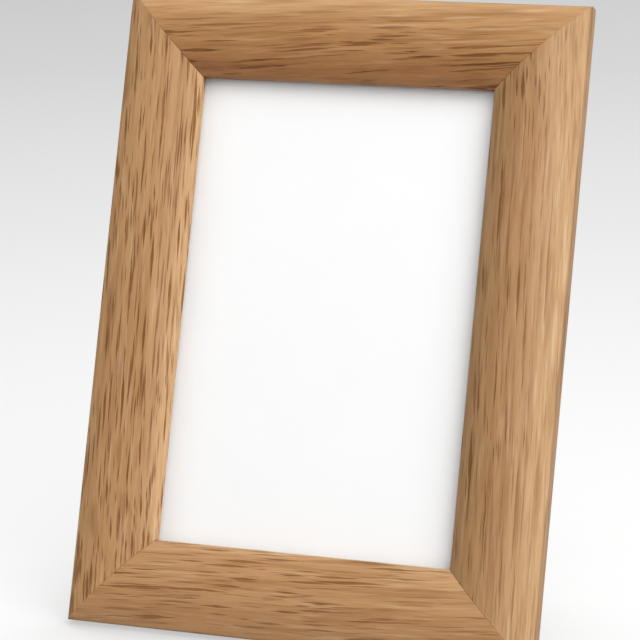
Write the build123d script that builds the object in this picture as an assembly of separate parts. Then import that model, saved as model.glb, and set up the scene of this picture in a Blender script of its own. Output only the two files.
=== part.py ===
from build123d import *
import os
from math import acos, cos, degrees, radians, sin

# Easel back photo frame for one 10 x 15 cm print, millimetres and degrees.
#
# Everything is drawn on the bench first: the frame upright, X to the right as seen from the
# front, Y to the back, Z up, with the origin in the middle of the lower back edge. The
# finished frame is then leaned back on that edge, with the strut swung out to the floor.

# The print and the sheets that lie in the rebate with it
print_width = 102.0
print_height = 152.0
print_thickness = 0.25
glass_thickness = 2.0
board_thickness = 3.0
sheet_clearance = 0.5
stack_play = 0.15

# Moulding: a cushion-shaped oak section, heights measured forwards from the glass
moulding_width = 26.5
lip_overlap = 6.0
lip_height = 3.0
crown_height = 6.5
crown_share = 0.47
shoulder_height = 0.5
sight_edge_radius = 0.7
shoulder_radius = 1.8
standing_edge_radius = 0.6

# V-nails that close the mitres, driven from the back
v_nail_leg = 5.0
v_nail_height = 5.0
v_nail_thickness = 0.5
v_nail_sink = 0.2
v_nail_shares = (0.26, 0.58)

# Turn buttons and their screws, on the backs of the two side rails
button_pivot_inset = 6.0
button_reach = 12.5
button_pivot_radius = 4.5
button_tip_radius = 3.0
button_thickness = 1.0
button_float = 0.05
button_height_shares = (0.25, 0.75)
screw_radius = 1.5
screw_length = 8.0
screw_head_radius = 3.0
screw_head_height = 1.8
screw_recess_length = 3.4
screw_recess_width = 0.8
screw_recess_depth = 1.2
turning_clearance = 0.1
driven_clearance = 0.05

# Strut hinge: two rolled leaves on one pin, hung below the board's top edge
lean_angle = 19.0
opening_angle = 36.0
hinge_drop = 41.0
pin_radius = 1.0
pin_clearance = 0.05
pin_proud = 0.5
leaf_thickness = 0.8
leaf_corner_radius = 3.0
board_leaf_width = 30.0
board_leaf_reach = 15.0
board_leaf_rivet_rise = 9.5
middle_knuckle_width = 11.0
knuckle_gap = 0.3
curl_gap = 0.4
strut_leaf_width = 22.0
strut_leaf_reach = 22.0
strut_leaf_rivet_drop = 12.0
leaf_rivet_spacing = 13.0
stop_gap = 0.05

# Strut
strut_thickness = 3.0
strut_top_width = 28.0
strut_foot_width = 46.0
strut_corner_radius = 5.0
strut_edge_chamfer = 0.4

# Rivets, all alike but for their grip
rivet_radius = 1.5
rivet_head_radius = 3.0
rivet_head_height = 0.8

# Hanger: a strap folded round the bar of a triangular ring, below the board's top edge
hanger_drop = 7.0
hanger_strap_width = 7.0
hanger_strap_length = 13.0
hanger_strap_thickness = 0.8
hanger_layer_gap = 0.1
hanger_rivet_drop = 8.0
ring_wire_radius = 0.9
ring_half_width = 8.5
ring_drop = 12.5
ring_bend_radius = 2.4
ring_clearance = 0.05

# One overrun serves all cuts
cut_overrun = 2.0

# Sizes that follow
rebate_width = print_width + 2 * sheet_clearance
rebate_height = print_height + 2 * sheet_clearance
sight_width = rebate_width - 2 * lip_overlap
sight_height = rebate_height - 2 * lip_overlap
outer_width = sight_width + 2 * moulding_width
outer_height = sight_height + 2 * moulding_width
glass_front = -(glass_thickness + print_thickness + board_thickness + stack_play)
print_front = glass_front + glass_thickness
board_front = print_front + print_thickness
board_back = board_front + board_thickness
board_top = (outer_height + print_height) / 2
rail_back_width = moulding_width - lip_overlap
frame_middle = Pos(0, 0, outer_height / 2)

pin_hole_radius = pin_radius + pin_clearance
knuckle_radius = pin_hole_radius + leaf_thickness
leaf_face = knuckle_radius + knuckle_gap
strut_back = leaf_face + strut_thickness
splay_angle = opening_angle - lean_angle
hinge_height = board_top - hinge_drop
hinge_line = Pos(0, board_back + leaf_face, hinge_height)

rivet_hole_radius = rivet_radius + driven_clearance
hanger_height = board_top - hanger_drop
ring_eye_radius = ring_wire_radius + ring_clearance
hanger_eye = board_back + ring_eye_radius + hanger_strap_thickness
hanger_stack = 2 * hanger_strap_thickness + hanger_layer_gap

# The rounded lower back edge stands on the floor, so the leaned frame comes down by this much
standing_lift = standing_edge_radius * (cos(radians(lean_angle)) + sin(radians(lean_angle)) - 1)
leaned = Pos(0, 0, -standing_lift) * Rot(X=-lean_angle)


def moulding_section():
    """Section of a rail: X outwards from the sight edge, Y forwards from the glass."""
    sight_edge = (0, lip_height)
    shoulder = (moulding_width, shoulder_height)
    standing_edge = (moulding_width, glass_front)
    face = ThreePointArc(sight_edge, (crown_share * moulding_width, crown_height), shoulder)
    rebate_mouth = (lip_overlap, glass_front)
    back = Polyline(shoulder, standing_edge, rebate_mouth, (lip_overlap, 0), (0, 0), sight_edge)
    section = make_face(face.edges() + back.edges())
    eased = (
        (sight_edge, sight_edge_radius),
        (shoulder, shoulder_radius),
        (standing_edge, standing_edge_radius),
    )
    for corner, radius in eased:
        section = fillet(section.vertices().sort_by_distance(corner)[0], radius)
    return section


def mitred_rail(half_across, half_along):
    """Rail on the +X side of the frame's middle, its sight edge half_across out and mitred at both ends."""
    section_plane = Plane(origin=(half_across, glass_front, 0), x_dir=(1, 0, 0), z_dir=(0, 0, -1))
    bar = extrude(section_plane * moulding_section(), half_along + moulding_width, both=True)
    outer_across = half_across + moulding_width
    outer_along = half_along + moulding_width
    mitres = Polyline(
        (half_across, -half_along),
        (outer_across, -outer_along),
        (outer_across, outer_along),
        (half_across, half_along),
        close=True,
    )
    wedge = extrude(Plane.XZ * make_face(mitres), 2 * moulding_width, both=True)
    return bar & wedge


def v_nails(back):
    """Two right-angled nails at each mitre, opening towards the outer corner, their backs at Y = back."""
    wing = Rectangle(v_nail_leg, v_nail_leg, align=Align.MIN)
    wing -= Pos(v_nail_thickness, v_nail_thickness) * Rectangle(v_nail_leg, v_nail_leg, align=Align.MIN)
    nail = Pos(0, back, 0) * extrude(Plane.XZ * wing, v_nail_height + v_nail_sink + back)
    nails = []
    for share in v_nail_shares:
        along_mitre = lip_overlap + share * rail_back_width
        corner = Pos(sight_width / 2 + along_mitre, 0, sight_height / 2 + along_mitre) * nail
        right = [corner, mirror(corner, Plane.XY)]
        nails += right + [mirror(solid, Plane.YZ) for solid in right]
    return [frame_middle * solid for solid in nails]


def button_places():
    """Pivots of the turn buttons on the rails' back face, by name, with the turn that points each inwards."""
    across = rebate_width / 2 + button_pivot_inset
    places = {}
    for side, x, turn in (("left", -across, 0), ("right", across, 180)):
        for level, share in zip(("lower", "upper"), button_height_shares):
            height = (outer_height - rebate_height) / 2 + share * rebate_height
            places[f"turn_button_{side}_{level}"] = Pos(x, 0, height) * Rot(Y=turn)
    return places


def turn_button():
    """Stamped button lying on the back face, its pivot at the origin and its tip towards +X."""
    outline = make_hull(
        Circle(button_pivot_radius).edges() + (Pos(button_reach, 0) * Circle(button_tip_radius)).edges()
    )
    outline -= Circle(screw_radius + turning_clearance)
    return Pos(0, button_float, 0) * extrude(Plane.XZ * outline, -button_thickness)


def rod(radius, start, end):
    """Round rod on the Y axis, from start to end."""
    return Pos(0, end, 0) * extrude(Plane.XZ * Circle(radius), end - start)


def button_screw():
    """Blunt screw through a button into the rail, its flat head towards +Y with a cross recess."""
    under_head = 2 * button_float + button_thickness
    head_top = under_head + screw_head_height
    screw = rod(screw_radius, -screw_length, under_head) + rod(screw_head_radius, under_head, head_top)
    slot = Rectangle(screw_recess_length, screw_recess_width)
    cross = Plane.XZ * (slot + Rot(Z=90) * slot)
    recess = extrude(cross, -(screw_recess_depth + cut_overrun))
    return screw - Pos(0, head_top - screw_recess_depth, 0) * recess


def screw_hole():
    """Room for a screw in the rail."""
    return rod(screw_radius + driven_clearance, -(screw_length + driven_clearance), cut_overrun)


def rivet(grip):
    """Flat-headed rivet: its head sits on Y = 0, and its grip runs towards -Y and is set flush."""
    return rod(rivet_radius, -grip, 0) + rod(rivet_head_radius, 0, rivet_head_height)


def leaf_rivet_places(height):
    """The two rivets of a leaf, side by side at one height."""
    return [Pos(side * leaf_rivet_spacing / 2, 0, height) for side in (-1, 1)]


def rolled_leaf(width, reach, side):
    """Hinge leaf rolled round the pin on the X axis.

    Its flat runs from the pin for reach, upwards for side 1 and downwards for side -1. A leaf that
    runs up lies on the -Y side of the pin, against the board, and one that runs down on the +Y side.
    """
    bore = Circle(pin_hole_radius)
    flat_middle = -side * (leaf_face - leaf_thickness / 2)
    flat = Pos(flat_middle, side * reach / 2) * Rectangle(leaf_thickness, reach)
    seam_middle = -side * (leaf_face - leaf_thickness - curl_gap / 2)
    seam = Pos(seam_middle, side * knuckle_radius / 2) * Rectangle(curl_gap, knuckle_radius)
    section = Circle(knuckle_radius) + flat - bore - seam
    leaf = extrude(Plane.YZ * section, width / 2, both=True)
    free_end = leaf.edges().filter_by(Axis.Y).group_by(Axis.Z)[-1 if side > 0 else 0]
    return fillet(free_end, leaf_corner_radius)


def board_leaf():
    """Leaf that runs up the board from the pin, with a notch for the other leaf's knuckle."""
    leaf = rolled_leaf(board_leaf_width, board_leaf_reach, 1)
    notch_width = middle_knuckle_width + 2 * knuckle_gap
    notch = 2 * (knuckle_radius + knuckle_gap)
    leaf -= Box(notch_width, notch, notch)
    for place in leaf_rivet_places(board_leaf_rivet_rise):
        leaf -= place * rod(rivet_hole_radius, -(leaf_face + cut_overrun), 0)
    return leaf


def strut_leaf():
    """Leaf that runs down the strut from the pin, narrowed to one knuckle beside the pin."""
    leaf = rolled_leaf(strut_leaf_width, strut_leaf_reach, -1)
    shoulder_width = (strut_leaf_width - middle_knuckle_width) / 2
    clear_of_knuckle = 2 * (knuckle_radius + knuckle_gap)
    beside = middle_knuckle_width / 2 + shoulder_width
    for side in (-1, 1):
        leaf -= Pos(side * beside, 0, 0) * Box(2 * shoulder_width, 2 * strut_back, clear_of_knuckle)
    for place in leaf_rivet_places(-strut_leaf_rivet_drop):
        leaf -= place * rod(rivet_hole_radius, 0, strut_back)
    return leaf


def hinge_pin():
    """Pin through all the knuckles, standing proud of them at both ends."""
    return extrude(Plane.YZ * Circle(pin_radius), board_leaf_width / 2 + pin_proud, both=True)


def strut_heel():
    """How far the strut runs above the pin, so that its top edge lands on the board leaf when it is open."""
    leaf_below_pin = leaf_face - leaf_thickness - stop_gap
    opening = radians(opening_angle)
    return (leaf_below_pin + leaf_face * cos(opening)) / sin(opening)


def strut_length():
    """From the pin to the floor along the outer face of the open strut."""
    pin_at = leaned * hinge_line
    splay = radians(splay_angle)
    return (pin_at.position.Z + strut_back * sin(splay)) / cos(splay)


def strut():
    """Tapered leg hanging from the pin on the X axis, as it lies when folded against the board."""
    top = strut_heel()
    foot = -strut_length()
    outline = Polyline(
        (-strut_top_width / 2, top),
        (strut_top_width / 2, top),
        (strut_foot_width / 2, foot),
        (-strut_foot_width / 2, foot),
        close=True,
    )
    outline = make_face(outline.edges())
    outline = fillet(outline.vertices(), strut_corner_radius)
    leg = Pos(0, leaf_face, 0) * extrude(Plane.XZ * outline, -strut_thickness)
    outer_face = leg.faces().sort_by(Axis.Y)[-1]
    leg = chamfer(outer_face.outer_wire().edges(), strut_edge_chamfer)
    for place in leaf_rivet_places(-strut_leaf_rivet_drop):
        leg -= place * rod(rivet_hole_radius, 0, strut_back + cut_overrun)
    return leg


def hanger_strap():
    """Strip folded back on itself round the ring's bar: up the board, round the eye and down again."""
    roll = ring_eye_radius + hanger_strap_thickness / 2
    first_layer = board_back + hanger_strap_thickness / 2
    second_layer = first_layer + hanger_strap_thickness + hanger_layer_gap
    tuck = degrees(acos((second_layer - hanger_eye + roll) / (2 * roll)))
    tuck_drop = -2 * roll * sin(radians(tuck))
    tail = -hanger_strap_length
    up = Line((first_layer, tail), (first_layer, 0))
    eye = CenterArc((hanger_eye, 0), roll, 180, -180 - tuck)
    back_in = CenterArc((second_layer + roll, tuck_drop), roll, 180 - tuck, tuck)
    down = Line(back_in @ 1, (second_layer, tail))
    path = Plane.YZ * Wire(up.edges() + eye.edges() + back_in.edges() + down.edges())
    start = Plane(path @ 0, x_dir=(1, 0, 0), z_dir=path % 0)
    strap = sweep(start * Rectangle(hanger_strap_width, hanger_strap_thickness), path=path)
    rivet_hole = rod(rivet_hole_radius, board_back - cut_overrun, hanger_eye + cut_overrun)
    return strap - Pos(0, 0, -hanger_rivet_drop) * rivet_hole


def hanger_ring():
    """Triangular wire ring hanging plumb, with its bar on the X axis."""
    loop = FilletPolyline(
        (-ring_half_width, 0), (ring_half_width, 0), (0, -ring_drop), radius=ring_bend_radius, close=True
    )
    path = Plane.XZ * Wire(loop.edges())
    return sweep(Plane(path @ 0, z_dir=path % 0) * Circle(ring_wire_radius), path=path)


def board():
    """Back board with holes for the hinge's and the hanger's rivets."""
    sheet = sheet_of_print_size(board_front, board_thickness)
    rivet_hole = rod(rivet_hole_radius, board_front - cut_overrun, board_back + cut_overrun)
    for place in board_rivet_places() + [hanger_rivet_place()]:
        sheet -= Pos(place.position.X, 0, place.position.Z) * rivet_hole
    return sheet


def board_rivet_places():
    """The hinge's rivets on the outer face of the board leaf."""
    surface = Pos(0, board_back + leaf_thickness, hinge_height)
    return [surface * place for place in leaf_rivet_places(board_leaf_rivet_rise)]


def hanger_rivet_place():
    """The hanger's rivet on the outer layer of the strap."""
    return Pos(0, board_back + hanger_stack, hanger_height - hanger_rivet_drop)


def sheet_of_print_size(front, thickness):
    """Plain sheet of the print's size, its front face at the given depth."""
    return frame_middle * Pos(0, front + thickness / 2, 0) * Box(print_width, thickness, print_height)


def rails():
    """The four rails, with room for the nails and the screws."""
    side = mitred_rail(sight_width / 2, sight_height / 2)
    end = mitred_rail(sight_height / 2, sight_width / 2)
    turned = {
        "right_rail": side,
        "top_rail": Rot(Y=-90) * end,
        "left_rail": Rot(Y=180) * side,
        "bottom_rail": Rot(Y=90) * end,
    }
    nail_slots = v_nails(cut_overrun)
    holes = [place * screw_hole() for place in button_places().values()]
    cuts = {name: nail_slots + (holes if name in ("left_rail", "right_rail") else []) for name in turned}
    return {name: frame_middle * rail - cuts[name] for name, rail in turned.items()}


def assembly():
    """Every piece by name, leaned back and standing on the floor."""
    swung = leaned * hinge_line * Rot(X=opening_angle)
    strut_rivets = [Pos(0, strut_back, 0) * place for place in leaf_rivet_places(-strut_leaf_rivet_drop)]
    strut_rivet = rivet(strut_thickness + leaf_thickness)
    board_rivet = rivet(leaf_thickness + board_thickness)
    ring_bar = leaned * Pos(0, hanger_eye, hanger_height)
    screws = [place * button_screw() for place in button_places().values()]
    pieces = {name: leaned * rail for name, rail in rails().items()}
    pieces["corner_v_nails"] = [leaned * nail for nail in v_nails(-v_nail_sink)]
    pieces["glass_pane"] = leaned * sheet_of_print_size(glass_front, glass_thickness)
    pieces["photo_insert"] = leaned * sheet_of_print_size(print_front, print_thickness)
    pieces["back_board"] = leaned * board()
    for name, place in button_places().items():
        pieces[name] = leaned * place * turn_button()
    pieces["turn_button_screws"] = [leaned * screw for screw in screws]
    pieces["hinge_board_leaf"] = leaned * hinge_line * board_leaf()
    pieces["hinge_pin"] = leaned * hinge_line * hinge_pin()
    pieces["board_leaf_rivets"] = [leaned * place * board_rivet for place in board_rivet_places()]
    pieces["hinge_strut_leaf"] = swung * strut_leaf()
    pieces["easel_strut"] = split(swung * strut(), Plane.XY, keep=Keep.TOP)
    pieces["strut_leaf_rivets"] = [swung * place * strut_rivet for place in strut_rivets]
    pieces["hanger_strap"] = leaned * Pos(0, 0, hanger_height) * hanger_strap()
    pieces["hanger_ring"] = Pos(ring_bar.position) * hanger_ring()
    pieces["hanger_rivet"] = leaned * hanger_rivet_place() * rivet(hanger_stack + board_thickness)
    return pieces


def named_shapes():
    """One shape for each piece, moved so that the origin is on the floor in the middle of the footprint."""
    grouped = {}
    for name, solid in assembly().items():
        grouped[name] = Compound(solid) if isinstance(solid, list) else solid
    extent = Compound(list(grouped.values())).bounding_box()
    to_middle = Pos(0, -(extent.min.Y + extent.max.Y) / 2, 0)
    return {name: to_middle * shape for name, shape in grouped.items()}


os.makedirs("parts", exist_ok=True)
for node, shape in named_shapes().items():
    export_step(shape, os.path.join("parts", f"{node}.step"))
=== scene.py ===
import math

import bpy
import numpy as np
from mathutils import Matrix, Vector


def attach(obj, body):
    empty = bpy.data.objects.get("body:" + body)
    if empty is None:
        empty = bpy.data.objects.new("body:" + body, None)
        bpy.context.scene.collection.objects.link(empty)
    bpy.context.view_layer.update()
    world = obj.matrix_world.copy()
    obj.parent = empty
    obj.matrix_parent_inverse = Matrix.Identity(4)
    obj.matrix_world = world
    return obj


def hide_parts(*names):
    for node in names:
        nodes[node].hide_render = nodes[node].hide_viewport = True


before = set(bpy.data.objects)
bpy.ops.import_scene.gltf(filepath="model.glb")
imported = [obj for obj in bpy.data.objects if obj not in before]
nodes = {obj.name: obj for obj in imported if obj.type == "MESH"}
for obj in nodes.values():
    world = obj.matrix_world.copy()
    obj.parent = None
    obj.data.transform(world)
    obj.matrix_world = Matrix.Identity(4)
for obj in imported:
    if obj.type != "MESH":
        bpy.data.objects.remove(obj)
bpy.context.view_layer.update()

# Bench sizes in millimetres, before the frame leans back: X to the right, Y to the back, Z up the rails
MM_PER_METRE = 1000.0
LEAN = math.radians(19.0)
STANDS_AT = (0.0, -40.2209, -0.1627)
FRAME_MIDDLE = 97.0
MOULDING_WIDTH = 26.5
SIGHT_HALF_WIDTH = 45.5
SIGHT_HALF_HEIGHT = 70.5
GLASS_FRONT = -5.4
GLASS_THICKNESS = 2.0
PANE_HALF_WIDTH = 51.0
PANE_HALF_HEIGHT = 76.0

# Turn buttons and their screws, on the back of the side rails
SIDES = {"left": -1, "right": 1}
BUTTON_ACROSS = 57.5
BUTTON_HEIGHTS = {"lower": 58.75, "upper": 135.25}
BUTTON_REACH = 12.5
BUTTON_PIVOT_RADIUS = 4.5
BUTTON_TIP_RADIUS = 3.0
BUTTON_HOLE_RADIUS = 1.6
BUTTON_BACK = 1.05
HEAD_RADIUS = 3.0
SCREW_END = -7.95
SCREW_SHANK_RADIUS = 1.48
SCREW_SEAT = 1.11

# Rivets: their places by depth and height, on the strut as seen from the hinge line
HINGE_LINE = (2.0, 132.0)
HINGE_OPEN = math.radians(36.0)
RIVET_SHANK_RADIUS = 1.45
RIVET_SEAT = 0.01
RIVET_ASIDE = 6.5
RIVET_GRIP = 3.8
BOARD_RIVETS = (0.65, 141.5)
STRUT_RIVETS = (5.15, -12.0)
HANGER_RIVET = (1.55, 158.0)
HANGER_GRIP = 4.7

SHARP_TURN = math.radians(40.0)
STEEL = "nickel_plated_steel"


def to_floor(points):
    """Bench millimetres to metres on the floor: leaned back about X, then moved to where the frame stands."""
    x, y, z = np.moveaxis(np.asarray(points, float), -1, 0)
    leaned_y = y * math.cos(LEAN) + z * math.sin(LEAN)
    leaned_z = z * math.cos(LEAN) - y * math.sin(LEAN)
    return (np.stack([x, leaned_y, leaned_z], -1) + STANDS_AT) / MM_PER_METRE


# ---------------------------------------------------------------------------------------------
# Finishes


class Value:
    """A number that changes over a surface. Sums and products of it add Math nodes to its finish."""

    def __init__(self, finish, socket):
        self.finish = finish
        self.socket = socket

    def math(self, operation, first, second=0.0):
        made = self.finish.node("ShaderNodeMath", {"operation": operation}, {0: first, 1: second})
        return Value(self.finish, made.outputs[0])

    def __add__(self, other):
        return self.math("ADD", self, other)

    __radd__ = __add__

    def __sub__(self, other):
        return self.math("SUBTRACT", self, other)

    def __rsub__(self, other):
        return self.math("SUBTRACT", other, self)

    def __mul__(self, other):
        return self.math("MULTIPLY", self, other)

    __rmul__ = __mul__

    def __truediv__(self, other):
        return self.math("DIVIDE", self, other)

    def __pow__(self, other):
        return self.math("POWER", self, other)

    def __abs__(self):
        return self.math("ABSOLUTE", self)

    def least(self, other):
        return self.math("MINIMUM", self, other)

    def most(self, other):
        return self.math("MAXIMUM", self, other)


class Finish:
    """The nodes of a material, or of the air round the frame."""

    def __init__(self, owner):
        owner.use_nodes = True
        self.owner = owner
        self.tree = owner.node_tree
        self.tree.nodes.clear()

    def node(self, kind, settings=None, sockets=None):
        """One node of any kind: its settings first, then values or links for its sockets by name or number."""
        made = self.tree.nodes.new(kind)
        for key, value in (settings or {}).items():
            setattr(made, key, value)
        for key, value in (sockets or {}).items():
            target = made.inputs[key]
            if isinstance(value, Value):
                value = value.socket
            if isinstance(value, bpy.types.NodeSocket):
                self.tree.links.new(value, target)
            else:
                target.default_value = value
        return made

    def value(self, kind, settings, sockets, output=0):
        return Value(self, self.node(kind, settings, sockets).outputs[output])

    def place(self):
        """Bench place of a point in millimetres, as three values: its place on the floor, moved and turned back."""
        y, z = -STANDS_AT[1], -STANDS_AT[2]
        sockets = {
            "Vector": self.node("ShaderNodeTexCoord").outputs["Object"],
            "Location": (
                0.0,
                y * math.cos(LEAN) - z * math.sin(LEAN),
                y * math.sin(LEAN) + z * math.cos(LEAN),
            ),
            "Rotation": (LEAN, 0.0, 0.0),
            "Scale": (MM_PER_METRE,) * 3,
        }
        bench = self.node("ShaderNodeMapping", {"vector_type": "POINT"}, sockets).outputs[0]
        split = self.node("ShaderNodeSeparateXYZ", None, {0: bench})
        return [Value(self, out) for out in split.outputs]

    def join(self, x, y, z):
        return self.node("ShaderNodeCombineXYZ", None, {0: x, 1: y, 2: z}).outputs[0]

    def noise(self, x, y, z, detail=2.0, roughness=0.5):
        """Cloudy value from 0 to 1, one cloud to each unit of its three coordinates."""
        sockets = {"Vector": self.join(x, y, z), "Scale": 1.0, "Detail": detail, "Roughness": roughness}
        return self.value("ShaderNodeTexNoise", {"noise_dimensions": "3D"}, sockets)

    def specks(self, x, y, z=None, exponent=2.0):
        """Distance to the nearest of scattered points, one to each unit cell, and a random value for that point."""
        flat = z is None
        settings = {"feature": "F1", "distance": "MINKOWSKI", "voronoi_dimensions": "2D" if flat else "3D"}
        sockets = {"Vector": self.join(x, y, 0.0 if flat else z), "Scale": 1.0, "Exponent": exponent}
        made = self.node("ShaderNodeTexVoronoi", settings, sockets)
        chance = self.node("ShaderNodeSeparateColor", None, {0: made.outputs["Color"]})
        return Value(self, made.outputs["Distance"]), Value(self, chance.outputs[0])

    def ease(self, value, low, high):
        """0 where value is low, 1 where it is high, smooth between; low may be the larger."""
        sockets = {"Value": value, "From Min": low, "From Max": high}
        return self.value("ShaderNodeMapRange", {"interpolation_type": "SMOOTHSTEP"}, sockets)

    def mix(self, share, first, second, blend="MIX"):
        """Colour between two colours."""
        settings = {"data_type": "RGBA", "blend_type": blend, "clamp_factor": True}
        return self.node("ShaderNodeMix", settings, {0: share, 6: first, 7: second}).outputs[2]

    def shades(self, value, stops):
        """Colour from a row of stops, each a place from 0 to 1 and a colour."""
        ramp = self.node("ShaderNodeValToRGB", None, {0: value})
        elements = ramp.color_ramp.elements
        for index, (at, colour) in enumerate(stops):
            stop = elements[index] if index < 2 else elements.new(at)
            stop.position = at
            stop.color = (*colour[:3], 1.0)
        return ramp.outputs[0]

    def bump(self, height, depth, strength):
        """Normal of a surface raised by height, which is from 0 to 1, over a depth in metres."""
        sockets = {"Height": height, "Distance": depth, "Strength": strength}
        return self.node("ShaderNodeBump", None, sockets).outputs[0]

    def blended(self, share, first, second):
        """Shader between the shaders of two nodes."""
        sockets = {0: share, 1: first.outputs[0], 2: second.outputs[0]}
        return self.node("ShaderNodeMixShader", None, sockets).outputs[0]

    def straight(self):
        """1 where the camera looks, itself or in a mirror or through glass, and 0 for bounced light."""
        ray = self.node("ShaderNodeLightPath")
        looks = [Value(self, ray.outputs[f"Is {kind} Ray"]) for kind in ("Camera", "Glossy", "Transmission")]
        return looks[0].most(looks[1]).most(looks[2])

    def finished(self, **sockets):
        """Ends the finish with one Principled surface."""
        named = {key.replace("_", " "): value for key, value in sockets.items()}
        return self.show(self.node("ShaderNodeBsdfPrincipled", None, named).outputs[0])

    def show(self, shader):
        self.node("ShaderNodeOutputMaterial", None, {"Surface": shader})
        return self.owner


def new_finish(name):
    return Finish(bpy.data.materials.new(name))


def tone(red, green, blue):
    """Linear colour from the 0 to 255 values of a swatch."""
    share = np.array([red, green, blue]) / 255
    linear = np.where(share <= 0.04045, share / 12.92, ((share + 0.055) / 1.055) ** 2.4)
    return (*linear.tolist(), 1.0)


def grey(level):
    """Linear grey, the same share of red, green and blue."""
    return (level, level, level, 1.0)


def grey_stops(stops):
    """Stops of a row of shades from places and the 0 to 255 values of greys."""
    return [(at, tone(level, level, level)) for at, level in stops]


OAK_LIGHT = tone(203, 158, 112)
OAK_MIDDLE = tone(186, 140, 94)
OAK_DARK = tone(160, 114, 72)
OAK_STREAK = tone(224, 192, 156)
OAK_PORE = tone(126, 78, 27)
OAK_JOINT = tone(104, 66, 36)
BOARD_DARK = tone(120, 88, 60)
BOARD_LIGHT = tone(150, 113, 79)
BOARD_CLOUD = tone(112, 80, 54)
BOARD_FLECK = tone(84, 58, 38)

# Places of the wood's tone and painted shade, as shares of the way from the sight edge to the rim
TONE_AND_PAINTED_SHADE_PLACES = (0.0, 0.15, 0.5, 0.98, 1.0)

# The grain of each rail. Grain: clouds to a millimetre, across and along. Dashes: for each layer the cell in
# millimetres across and along, the reach and the strength. Busy: strength of the pores at the sight edge and rim.
# Last come the factors that the wood's colour is multiplied by at each place from the sight edge to the rim. They are
# partly the wood's own tone and partly painted light and shade: darker where the cushion faces away from the upper
# right and on the rim's outer wall, and lighter where it faces that way.
RAILS = {
    "left": {
        "upright": True,
        "slant": 0.03,
        "grain": (0.45, 0.045),
        "dashes": (
            (2.2, 42.0, 0.27, 1.0),
            (1.9, 37.0, 0.27, 1.0),
            (1.6, 33.0, 0.27, 0.9),
            (1.3, 30.0, 0.26, 0.7),
        ),
        "busy": (0.92, 0.86),
        "tone_and_painted_shade": (
            (1.08, 1.14, 1.16),
            (0.87, 0.86, 0.85),
            (0.89, 0.86, 0.8),
            (1.0, 0.97, 0.86),
            (0.74, 0.7, 0.64),
        ),
        "seed": 3.1,
    },
    "right": {
        "upright": True,
        "slant": 0.03,
        "grain": (0.6, 0.02),
        "dashes": (
            (3.0, 80.0, 0.22, 0.9),
            (2.4, 62.0, 0.22, 0.8),
            (1.6, 50.0, 0.22, 0.6),
            (1.1, 40.0, 0.24, 0.5),
        ),
        "busy": (0.9, 0.5),
        "tone_and_painted_shade": (
            (0.6, 0.62, 0.63),
            (0.67, 0.65, 0.56),
            (0.77, 0.75, 0.72),
            (1.03, 1.13, 1.22),
            (0.67, 0.65, 0.6),
        ),
        "seed": 41.7,
    },
    "top": {
        "upright": False,
        "slant": -0.06,
        "grain": (0.5, 0.03),
        "dashes": (
            (2.8, 76.0, 0.24, 1.0),
            (2.4, 62.0, 0.24, 0.9),
            (1.8, 46.0, 0.23, 0.7),
            (1.3, 40.0, 0.24, 0.5),
        ),
        "busy": (1.0, 0.25),
        "tone_and_painted_shade": (
            (0.55, 0.46, 0.39),
            (0.55, 0.43, 0.31),
            (0.76, 0.68, 0.54),
            (0.99, 1.03, 1.03),
            (0.74, 0.7, 0.61),
        ),
        "seed": 17.3,
    },
    "bottom": {
        "upright": False,
        "slant": -0.04,
        "grain": (0.5, 0.03),
        "dashes": (
            (2.8, 70.0, 0.24, 1.0),
            (2.4, 56.0, 0.24, 0.9),
            (1.8, 44.0, 0.23, 0.7),
            (1.3, 36.0, 0.24, 0.5),
        ),
        "busy": (0.82, 0.72),
        "tone_and_painted_shade": (
            (1.1, 1.2, 1.35),
            (0.87, 0.84, 0.79),
            (0.85, 0.8, 0.74),
            (0.99, 0.95, 0.93),
            (0.74, 0.7, 0.66),
        ),
        "seed": 67.9,
    },
}


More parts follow.
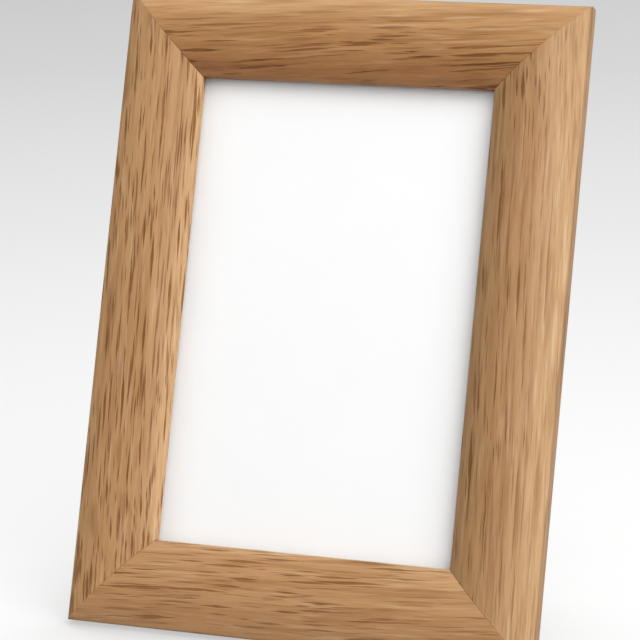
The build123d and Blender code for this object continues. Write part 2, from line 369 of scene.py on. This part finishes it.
def oak(name, upright, slant, grain, dashes, busy, tone_and_painted_shade, seed):
    """Satin oak with its grain along the rail.

    Figure in words: cloudy bands drawn out along the grain with finer streaks and fibres on them, and over
    these the open pores. A pore is dark where a cloud drawn out along the grain is densest, or inside a
    lens-shaped dash. Each layer of dashes has one, at a random place and of a random length, to each cell of a
    grid that is slanted a little to the rail, and reach is the share of the cell that the longest dash fills.
    The wood's colour changes from the sight edge to the rim. This is partly its own tone and partly painted light and
    shade: darker on the slopes that face away from the upper right and on the rim's outer wall, and lighter on the
    slopes that face it. The mitres, where the distance past the sight edge is the same both ways, close in a faint
    line.
    """
    f = new_finish(name)
    x, y, z = f.place()
    along, across = (z, x) if upright else (x, z)
    bend = f.noise(along * 0.012 + seed, across * 0.03, y * 0.03, 1.0)
    flat = across + along * slant + bend * 4.0
    deep = y + along * (slant * 0.5)
    bands = f.noise(flat * 0.14 + seed, deep * 0.14, along * 0.008, 2.0)
    streaks = f.noise(flat * 0.55, deep * 0.55 + seed, along * 0.03, 3.0, 0.55)
    fibres = f.noise(flat * 2.6, deep * 2.6, along * 0.11 + seed, 2.0, 0.6)
    pale = f.noise(flat * 0.9 + seed, deep * 0.9, along * 0.045, 2.0, 0.55)

    ragged = f.noise(flat * 1.2, deep * 1.2 + seed, along * 0.14, 2.0)
    face = flat + deep * 0.45 + ragged * 0.6
    cloud = f.noise(face * grain[0], along * grain[1], seed, 2.0, 0.5)
    pores = f.ease(cloud, 0.58, 0.7) * 0.4
    for layer, (wide, long, reach, strength) in enumerate(dashes):
        shift = seed + 7.3 * layer
        gap, chance = f.specks(face / wide + shift, along / long + bend * 2.0, exponent=1.2)
        size = chance * (0.7 * reach) + 0.3 * reach
        pores = pores.most(f.ease(gap / size, 1.0, 0.5) * strength)

    past_side = abs(x) - SIGHT_HALF_WIDTH
    past_end = abs(z - FRAME_MIDDLE) - SIGHT_HALF_HEIGHT
    past = past_side.most(past_end) / MOULDING_WIDTH
    mitre = f.ease(abs(past_side - past_end), 0.3, 0.05)
    pores = pores * (0.6 + 0.4 * f.ease(ragged * 0.5 + bands * 0.5, 0.38, 0.55))
    pores = pores * (busy[0] + (busy[1] - busy[0]) * f.ease(past, 0.3, 0.95))

    colour = f.mix(f.ease(bands * 0.4 + streaks * 0.6, 0.36, 0.64), OAK_LIGHT, OAK_MIDDLE)
    colour = f.mix(f.ease(streaks, 0.52, 0.75) * 0.4, colour, OAK_DARK)
    colour = f.mix(f.ease(fibres, 0.4, 0.8) * 0.42, colour, OAK_DARK)
    colour = f.mix(f.ease(pale, 0.54, 0.74) * 0.4, colour, OAK_STREAK)
    colour = f.mix(pores, colour, OAK_PORE)
    # Painted light and shade, with the wood's own tone: per-place factors multiply the colour, darker on slopes away
    # from the upper right and at the rim
    colour = f.mix(1.0, colour, f.shades(past, zip(TONE_AND_PAINTED_SHADE_PLACES, tone_and_painted_shade)), "MULTIPLY")
    colour = f.mix(mitre * 0.1, colour, OAK_JOINT)

    height = fibres * 0.2 - pores - mitre * 0.4
    return f.finished(
        Base_Color=colour,
        Roughness=0.46 + pores * 0.2 + fibres * 0.1,
        Specular_IOR_Level=0.3,
        Normal=f.bump(height, 0.00035, 0.7),
    )


def white_paper():
    """Blank print: smooth white paper with faint cloudy mottling and fine tooth."""
    f = new_finish("white_paper")
    x, y, z = f.place()
    cloud = f.noise(x * 0.05, y, z * 0.05, 3.0)
    tooth = f.noise(x * 4.0, y * 4.0, z * 4.0, 3.0)
    return f.finished(
        Base_Color=f.mix(cloud, grey(0.945), grey(0.965)),
        Roughness=0.55 + tooth * 0.15,
        Normal=f.bump(tooth, 0.00002, 0.3),
    )


def clear_glass(mirrored=0.04):
    """Clear pane: light goes straight through, and a small share is mirrored, more where the pane is seen edge on."""
    f = new_finish("clear_glass")
    x, y, z = f.place()
    wave = f.noise(x * 0.02, y * 0.02, z * 0.02, 1.0)
    edge_on = f.value("ShaderNodeLayerWeight", None, {"Blend": 0.5}, "Facing")
    outside = 1.0 - f.value("ShaderNodeNewGeometry", None, None, "Backfacing")
    share = outside * (mirrored + (1.0 - mirrored) * edge_on**5)
    through = f.node("ShaderNodeBsdfTransparent", None, {"Color": grey(1.0)})
    mirror = f.node("ShaderNodeBsdfGlossy", None, {"Roughness": 0.02, "Normal": f.bump(wave, 0.0001, 0.1)})
    return f.show(f.blended(share, through, mirror))


def fibreboard():
    """Brown pressed board: matted short fibres and darker flecks, with a fine pebbled face."""
    f = new_finish("fibreboard")
    x, y, z = f.place()
    bend = f.noise(x * 0.2, y * 0.2, z * 0.2, 2.0)
    felt = f.noise(x * 1.4 + bend * 3.0, y * 1.4, z * 0.5 + bend * 2.0, 4.0, 0.65)
    cross = f.noise(x * 0.5 - bend * 2.0, y * 1.4, z * 1.4 + bend * 3.0, 4.0, 0.65)
    gap, chance = f.specks(x * 0.9, y * 0.9, z * 0.6)
    flecks = f.ease(gap, 0.24, 0.08) * f.ease(chance, 0.5, 0.9)
    cloud = f.noise(x * 0.03, y * 0.03, z * 0.03, 2.0)
    matted = felt * 0.5 + cross * 0.5
    colour = f.mix(f.ease(matted, 0.35, 0.65), BOARD_DARK, BOARD_LIGHT)
    colour = f.mix(f.ease(cloud, 0.35, 0.7) * 0.35, colour, BOARD_CLOUD)
    colour = f.mix(flecks * 0.6, colour, BOARD_FLECK)
    return f.finished(
        Base_Color=colour,
        Roughness=0.68 + felt * 0.15,
        Normal=f.bump(matted, 0.00012, 0.5),
    )


def plated_steel(name, bright, dull, roughness):
    """Plated sheet and wire: cool metal with fine drawn scratches and cloudy handling marks."""
    f = new_finish(name)
    x, y, z = f.place()
    drawn = f.noise(x * 0.35, y * 9.0, z * 9.0, 2.0, 0.6)
    cloud = f.noise(x * 0.25, y * 0.25, z * 0.25, 3.0)
    return f.finished(
        Base_Color=f.mix(f.ease(cloud, 0.35, 0.7), (*bright, 1.0), (*dull, 1.0)),
        Metallic=1.0,
        Roughness=roughness + cloud * 0.12 + drawn * 0.08,
        Normal=f.bump(drawn, 0.00002, 0.4),
    )


# ---------------------------------------------------------------------------------------------
# Pieces


def ring_faces(rings, count, hollow=False):
    """Quads between closed rings of count points, one ring after another. The last ring joins the first where the
    shell goes round a hole, and otherwise a face closes each end."""
    row, column = np.meshgrid(np.arange(rings if hollow else rings - 1), np.arange(count), indexing="ij")
    next_row, after = (row + 1) % rings, (column + 1) % count
    corners = [
        row * count + column,
        next_row * count + column,
        next_row * count + after,
        row * count + after,
    ]
    quads = np.stack([corner.ravel() for corner in corners], -1).tolist()
    first = np.arange(count)
    ends = [first.tolist(), (first[::-1] + (rings - 1) * count).tolist()]
    return quads if hollow else quads + ends


def piece(name, shells, body, finish, stands_for, hollow=False):
    """Mesh of closed shells, each rings of points in metres, riding on a body in place of the node that it stands
    for. Its round faces are shaded smooth, and edges that turn sharply stay sharp."""
    points, faces = [], []
    for rings in shells:
        start = len(points)
        points += rings.reshape(-1, 3).tolist()
        faces += [[start + corner for corner in face] for face in ring_faces(*rings.shape[:2], hollow)]
    mesh = bpy.data.meshes.new(name)
    mesh.from_pydata(points, [], faces)
    mesh.validate()
    mesh.shade_smooth()
    mesh.set_sharp_from_angle(angle=SHARP_TURN)
    made = bpy.data.objects.new(name, mesh)
    bpy.context.scene.collection.objects.link(made)
    mesh.materials.append(finish)
    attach(made, body)
    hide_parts(stands_for)


def pane_rings(clear=0.03, arris=0.25):
    """Glass pane as four rectangles from front to back: each is the pane's outline less an inset, so that the
    front and back edges are ground off by the arris, and both faces stand clear of their neighbours."""
    depth = np.array([clear, arris, GLASS_THICKNESS - arris, GLASS_THICKNESS - clear])
    inset = np.array([arris, clear, clear, arris])
    corner_x = np.array([-1.0, 1.0, 1.0, -1.0])
    corner_z = np.array([-1.0, -1.0, 1.0, 1.0])
    x = (PANE_HALF_WIDTH - inset)[:, None] * corner_x
    z = FRAME_MIDDLE + (PANE_HALF_HEIGHT - inset)[:, None] * corner_z
    y = GLASS_FRONT + depth[:, None] + 0 * x
    return to_floor(np.stack([x, y, z], -1))


def full_turn(count, start=0.0):
    """Angles of count points, evenly all the way round."""
    return start + np.linspace(0, 2 * math.pi, count + 1)[:-1]


def turned_rings(radii, heights, turn):
    """Rings about Y: a point of a ring is its radius out from the axis, at its turn round it, at its height."""
    radii, heights = np.broadcast_arrays(np.asarray(radii, float), np.asarray(heights, float))
    return np.stack([radii * np.cos(turn), heights + 0 * turn, radii * np.sin(turn)], -1)


def stem_rings(end, shank, seat, bevel, edge, turn):
    """Rings of a fastener up to its rim: a straight shank with a bevelled end, the flat underside of the head on its
    seat, and the eased lower edge of the head. Bevel and edge are how far in and how far up they go."""
    radii = [shank - bevel[0], shank, shank, HEAD_RADIUS - edge[0], HEAD_RADIUS]
    heights = [end, end + bevel[1], seat, seat, seat + edge[1]]
    return turned_rings(np.array(radii)[:, None], np.array(heights)[:, None], turn)


def rivet_rings(grip, rim=0.16, dome=0.62, rise_to=0.47 * math.pi):
    """Rivet about Y, its head on Y = 0: a stem, and a head that is half an ellipse over a low rim."""
    turn = full_turn(48)
    stem = stem_rings(-grip, RIVET_SHANK_RADIUS, RIVET_SEAT, (0.15, 0.1), (0.1, 0.09), turn)
    rise = np.linspace(0, rise_to, 9)[:, None]
    head = turned_rings(HEAD_RADIUS * np.cos(rise), rim + dome * np.sin(rise), turn)
    return np.concatenate([stem, head])


def screw_rings(half_length=1.7, half_width=0.4, recess_floor=1.2, floor_share=0.4, rim=1.9, dome=0.98):
    """Pan-head screw about Y, the rail's face at Y = 0: a stem, a round rim and half an ellipse over it.

    The rings of the head shrink from the rim to the outline of the cross recess, which along each direction from
    the middle is the farther of two bars at right angles. The last ring is a share of that outline, on the floor
    of the recess.
    """
    corner = math.atan2(half_width, half_length)
    bar_end = np.linspace(-corner, corner, 5)
    between = np.linspace(corner, math.pi / 2 - corner, 11)[1:-1]
    quarter = np.concatenate([bar_end, between])
    turn = (np.arange(4)[:, None] * math.pi / 2 + quarter).ravel()
    never_zero = 1e-9
    out_x, out_z = np.abs(np.cos(turn)) + never_zero, np.abs(np.sin(turn)) + never_zero
    level = np.minimum(half_length / out_x, half_width / out_z)
    upright = np.minimum(half_width / out_x, half_length / out_z)
    cross = np.maximum(level, upright)

    stem = stem_rings(SCREW_END, SCREW_SHANK_RADIUS, SCREW_SEAT, (0.18, 0.2), (0.15, 0.14), turn)
    radii = cross + (HEAD_RADIUS - cross) * np.linspace(1, 0, 9)[:, None]
    ellipse_radius = HEAD_RADIUS + 0.02
    crown = turned_rings(radii, rim + dome * np.sqrt(1 - (radii / ellipse_radius) ** 2), turn)
    recess = turned_rings(floor_share * cross[None], recess_floor, turn)
    return np.concatenate([stem, crown, recess])


def button_rings(ease=0.35, under=0.05, bevel=0.1, pivot_count=33, tip_count=25):
    """Stamped button about Y, its tip towards +X: one round end about the pivot and a smaller one about the tip,
    joined by straight sides that touch both. The rings go from the hole out over the lower face, up the wall, over
    the eased edge, where the outline shrinks by a quarter round, and back to the hole."""
    touch = math.acos((BUTTON_PIVOT_RADIUS - BUTTON_TIP_RADIUS) / BUTTON_REACH)
    pivot_end = np.linspace(touch, 2 * math.pi - touch, pivot_count)
    tip_end = np.linspace(-touch, touch, tip_count)
    turn = np.concatenate([pivot_end, tip_end])
    end_radius = np.repeat([BUTTON_PIVOT_RADIUS, BUTTON_TIP_RADIUS], [pivot_count, tip_count])
    along = np.repeat([0.0, BUTTON_REACH], [pivot_count, tip_count])

    over = np.linspace(0, math.pi / 2, 6)
    inset = np.concatenate([[bevel, 0.0], ease * (1 - np.cos(over))])[:, None]
    height = np.concatenate([[under, under + bevel], BUTTON_BACK - ease + ease * np.sin(over)])[:, None]
    outline = turned_rings(end_radius - inset, height, turn)
    outline[:, :, 0] += along
    hole_heights = np.array([[under], [BUTTON_BACK]])
    hole = turned_rings(BUTTON_HOLE_RADIUS, hole_heights, full_turn(len(turn), touch))
    return np.concatenate([hole[:1], outline, hole[1:]])


def on_back(rings, x, y, z, flip=False):
    """Rings set on the back of the frame, turned end for end about Y where flip."""
    turned = rings * (-1, 1, -1) if flip else rings
    return to_floor(turned + (x, y, z))


def on_strut(rings, x, y, z):
    """Rings set on the strut as it hangs from the hinge line, swung out about X by the opening of the hinge."""
    across, deep, high = np.moveaxis(rings + (x, y, z), -1, 0)
    swung_y = deep * math.cos(HINGE_OPEN) - high * math.sin(HINGE_OPEN) + HINGE_LINE[0]
    swung_z = deep * math.sin(HINGE_OPEN) + high * math.cos(HINGE_OPEN) + HINGE_LINE[1]
    return to_floor(np.stack([across, swung_y, swung_z], -1))


def dress(finish, *names):
    """Gives CAD nodes a finish."""
    for name in names:
        nodes[name].data.materials.clear()
        nodes[name].data.materials.append(finish)


for rail, grain_of_rail in RAILS.items():
    dress(oak(f"oak_{rail}", **grain_of_rail), f"{rail}_rail")
dress(white_paper(), "photo_insert")
dress(fibreboard(), "back_board", "easel_strut")
nickel = plated_steel(STEEL, bright=(0.62, 0.6, 0.56), dull=(0.48, 0.46, 0.43), roughness=0.2)
dress(nickel, "hinge_board_leaf", "hinge_pin", "hinge_strut_leaf", "hanger_strap", "hanger_ring")
rivet_finish = plated_steel("dull_rivets", bright=(0.5, 0.48, 0.45), dull=(0.4, 0.38, 0.36), roughness=0.3)
nail_finish = plated_steel("bright_steel", bright=(0.55, 0.55, 0.56), dull=(0.42, 0.42, 0.43), roughness=0.35)
dress(nail_finish, "corner_v_nails")

piece("glass", [pane_rings()], "frame", clear_glass(), "glass_pane")

rivet = rivet_rings(RIVET_GRIP)
board_rivets = [on_back(rivet, RIVET_ASIDE * side, *BOARD_RIVETS) for side in SIDES.values()]
strut_rivets = [on_strut(rivet, RIVET_ASIDE * side, *STRUT_RIVETS) for side in SIDES.values()]
hanger_rivet = [on_back(rivet_rings(HANGER_GRIP), 0.0, *HANGER_RIVET)]
piece("domed_board_rivets", board_rivets, "frame", rivet_finish, "board_leaf_rivets")
piece("domed_strut_rivets", strut_rivets, "strut", rivet_finish, "strut_leaf_rivets")
piece("domed_hanger_rivet", hanger_rivet, "frame", rivet_finish, "hanger_rivet")

screws = []
for side_name, side in SIDES.items():
    for level_name, height in BUTTON_HEIGHTS.items():
        pivot = (BUTTON_ACROSS * side, 0.0, height)
        screws.append(on_back(screw_rings(), *pivot, flip=side > 0))
        plate = [on_back(button_rings(), *pivot, flip=side > 0)]
        at = f"{side_name}_{level_name}"
        piece(f"eased_button_{at}", plate, f"button_{at}", nickel, f"turn_button_{at}", hollow=True)
piece("pan_head_screws", screws, "frame", nickel, "turn_button_screws")


# ---------------------------------------------------------------------------------------------
# Stage, light and camera

# Greys of the floor, by the distance from the frame as a share of the fade
FLOOR_FADE = 2.0
FLOOR_GREYS = ((0.06, 255), (0.3, 237), (0.6, 219), (1.0, 208))

# Greys of the room that the metal mirrors, by how far up it looks
ROOM_GREYS = ((0.0, 110), (0.18, 90), (0.4, 235), (0.6, 150), (1.0, 90))

LAMP_AIM = Vector((0.0, 0.0, 0.09))
PHOTO_PIXELS = 640
SENSOR_WIDTH = 36.0


def floor_finish(shade_reach=0.06, most_covered=0.5, shade=0.55, glow_share=0.7, lit_share=0.27, bounce=0.4):
    """Pale floor: white round the frame and greyer with distance, and darker where the frame shades it: a real shadow
    on the lit part, and painted shade from ambient occlusion on the glow.

    What the camera and mirrors see is part glow and part lit surface, so that the shadow stays on a white ground.
    """
    f = new_finish("studio_floor")
    where = f.node("ShaderNodeTexCoord").outputs["Object"]
    apart = f.value("ShaderNodeVectorMath", {"operation": "LENGTH"}, {0: where}, "Value")
    colour = f.shades(apart / FLOOR_FADE, grey_stops(FLOOR_GREYS))
    # Painted shade: the glow is darkened by ambient occlusion near the frame, as a contact shadow under its edge
    open_air = f.value("ShaderNodeAmbientOcclusion", {"samples": 8}, {"Distance": shade_reach}, "AO")
    covered = (1.0 - open_air).least(most_covered)
    shaded = f.mix(covered * shade, colour, grey(0.0))
    glow = f.node("ShaderNodeEmission", None, {"Color": shaded, "Strength": glow_share})
    part_lit = f.mix(1.0, colour, grey(lit_share), "MULTIPLY")
    matt = {"Base Color": part_lit, "Roughness": 1.0, "Specular IOR Level": 0.0}
    lit = f.node("ShaderNodeBsdfPrincipled", None, matt)
    seen = f.node("ShaderNodeAddShader", None, {0: glow.outputs[0], 1: lit.outputs[0]})
    bounced = f.node("ShaderNodeBsdfDiffuse", None, {"Color": grey(bounce)})
    return f.show(f.blended(f.straight(), bounced, seen))


def studio_floor(radii=(0.01, 0.5, 1.5, 6.0), count=64, below=0.0001):
    """Flat disc just below the standing edge: circles of growing radius, joined one to the next, and closed in the
    middle."""
    turn = full_turn(count)
    reach = np.array(radii)[:, None]
    x, y = reach * np.cos(turn), reach * np.sin(turn)
    points = np.stack([x, y, np.full_like(x, -below)], -1).reshape(-1, 3)
    mesh = bpy.data.meshes.new("studio_floor")
    mesh.from_pydata(points.tolist(), [], ring_faces(len(radii), count)[:-1])
    mesh.materials.append(floor_finish())
    floor = bpy.data.objects.new("studio_floor", mesh)
    bpy.context.scene.collection.objects.link(floor)


def soft_lamp(name, direction, apart, size, level):
    """Square soft box aimed at the frame. At this level white paper that faces it returns that share of white."""
    lamp = bpy.data.lights.new(name, "AREA")
    lamp.shape = "SQUARE"
    lamp.size = size
    lamp.energy = level * math.pi**2 * apart**2
    made = bpy.data.objects.new(name, lamp)
    towards = Vector(direction).normalized()
    made.location = LAMP_AIM + towards * apart
    made.rotation_euler = towards.to_track_quat("Z", "Y").to_euler()
    bpy.context.scene.collection.objects.link(made)


def studio_air(ambient, backdrop):
    """Even light all round, and a plain grey where a view looks past the floor.

    Metal on the back of the frame mirrors a room there: dark low down, with a bright band above and a dim top.
    """
    world = bpy.data.worlds.new("studio_air")
    bpy.context.scene.world = world
    f = Finish(world)
    towards = f.node("ShaderNodeSeparateXYZ", None, {0: f.node("ShaderNodeTexCoord").outputs["Generated"]})
    back, up = (Value(f, out) for out in towards.outputs[1:])
    room = f.shades(up, grey_stops(ROOM_GREYS))
    mirrored = f.value("ShaderNodeLightPath", None, None, "Is Glossy Ray") * f.ease(back, 0.0, 0.4)
    backdrop = f.mix(mirrored, backdrop, room)
    around = f.node("ShaderNodeBackground", None, {"Color": grey(1.0), "Strength": ambient})
    behind = f.node("ShaderNodeBackground", None, {"Color": backdrop, "Strength": 1.0})
    f.node("ShaderNodeOutputWorld", None, {"Surface": f.blended(f.straight(), around, behind)})


def photo_camera(focal_pixels, yaw, elevation, apart, off_x, off_y):
    """Camera at the photograph's angle, aimed at the middle of the sight opening. Focal length and offsets are in
    pixels of the photograph."""
    camera = bpy.data.cameras.new("photo_camera")
    camera.sensor_width = SENSOR_WIDTH
    camera.lens = focal_pixels / PHOTO_PIXELS * SENSOR_WIDTH
    camera.shift_x = off_x / PHOTO_PIXELS
    camera.shift_y = off_y / PHOTO_PIXELS
    camera.clip_start = 0.05
    camera.clip_end = 30.0
    made = bpy.data.objects.new("photo_camera", camera)
    aim = Vector(to_floor((0.0, GLASS_FRONT, FRAME_MIDDLE)))
    a, e = math.radians(yaw), math.radians(elevation)
    back = Vector((math.sin(a) * math.cos(e), -math.cos(a) * math.cos(e), math.sin(e)))
    made.location = aim + back * apart
    made.rotation_euler = back.to_track_quat("Z", "Y").to_euler()
    bpy.context.scene.collection.objects.link(made)
    bpy.context.scene.camera = made


studio_floor()
studio_air(ambient=0.42, backdrop=tone(200, 200, 200))
soft_lamp("key_lamp", (0.55, -0.5, 0.67), apart=1.8, size=2.0, level=1.14)
soft_lamp("fill_lamp", (-0.75, -0.55, 0.35), apart=1.8, size=1.0, level=0.12)
soft_lamp("back_lamp", (0.45, 0.8, 0.4), apart=3.0, size=2.4, level=0.5)
photo_camera(focal_pixels=2578.5, yaw=17.34, elevation=13.54, apart=0.7678, off_x=-6.1, off_y=-1.9)
bpy.context.scene.view_settings.view_transform = "Standard"
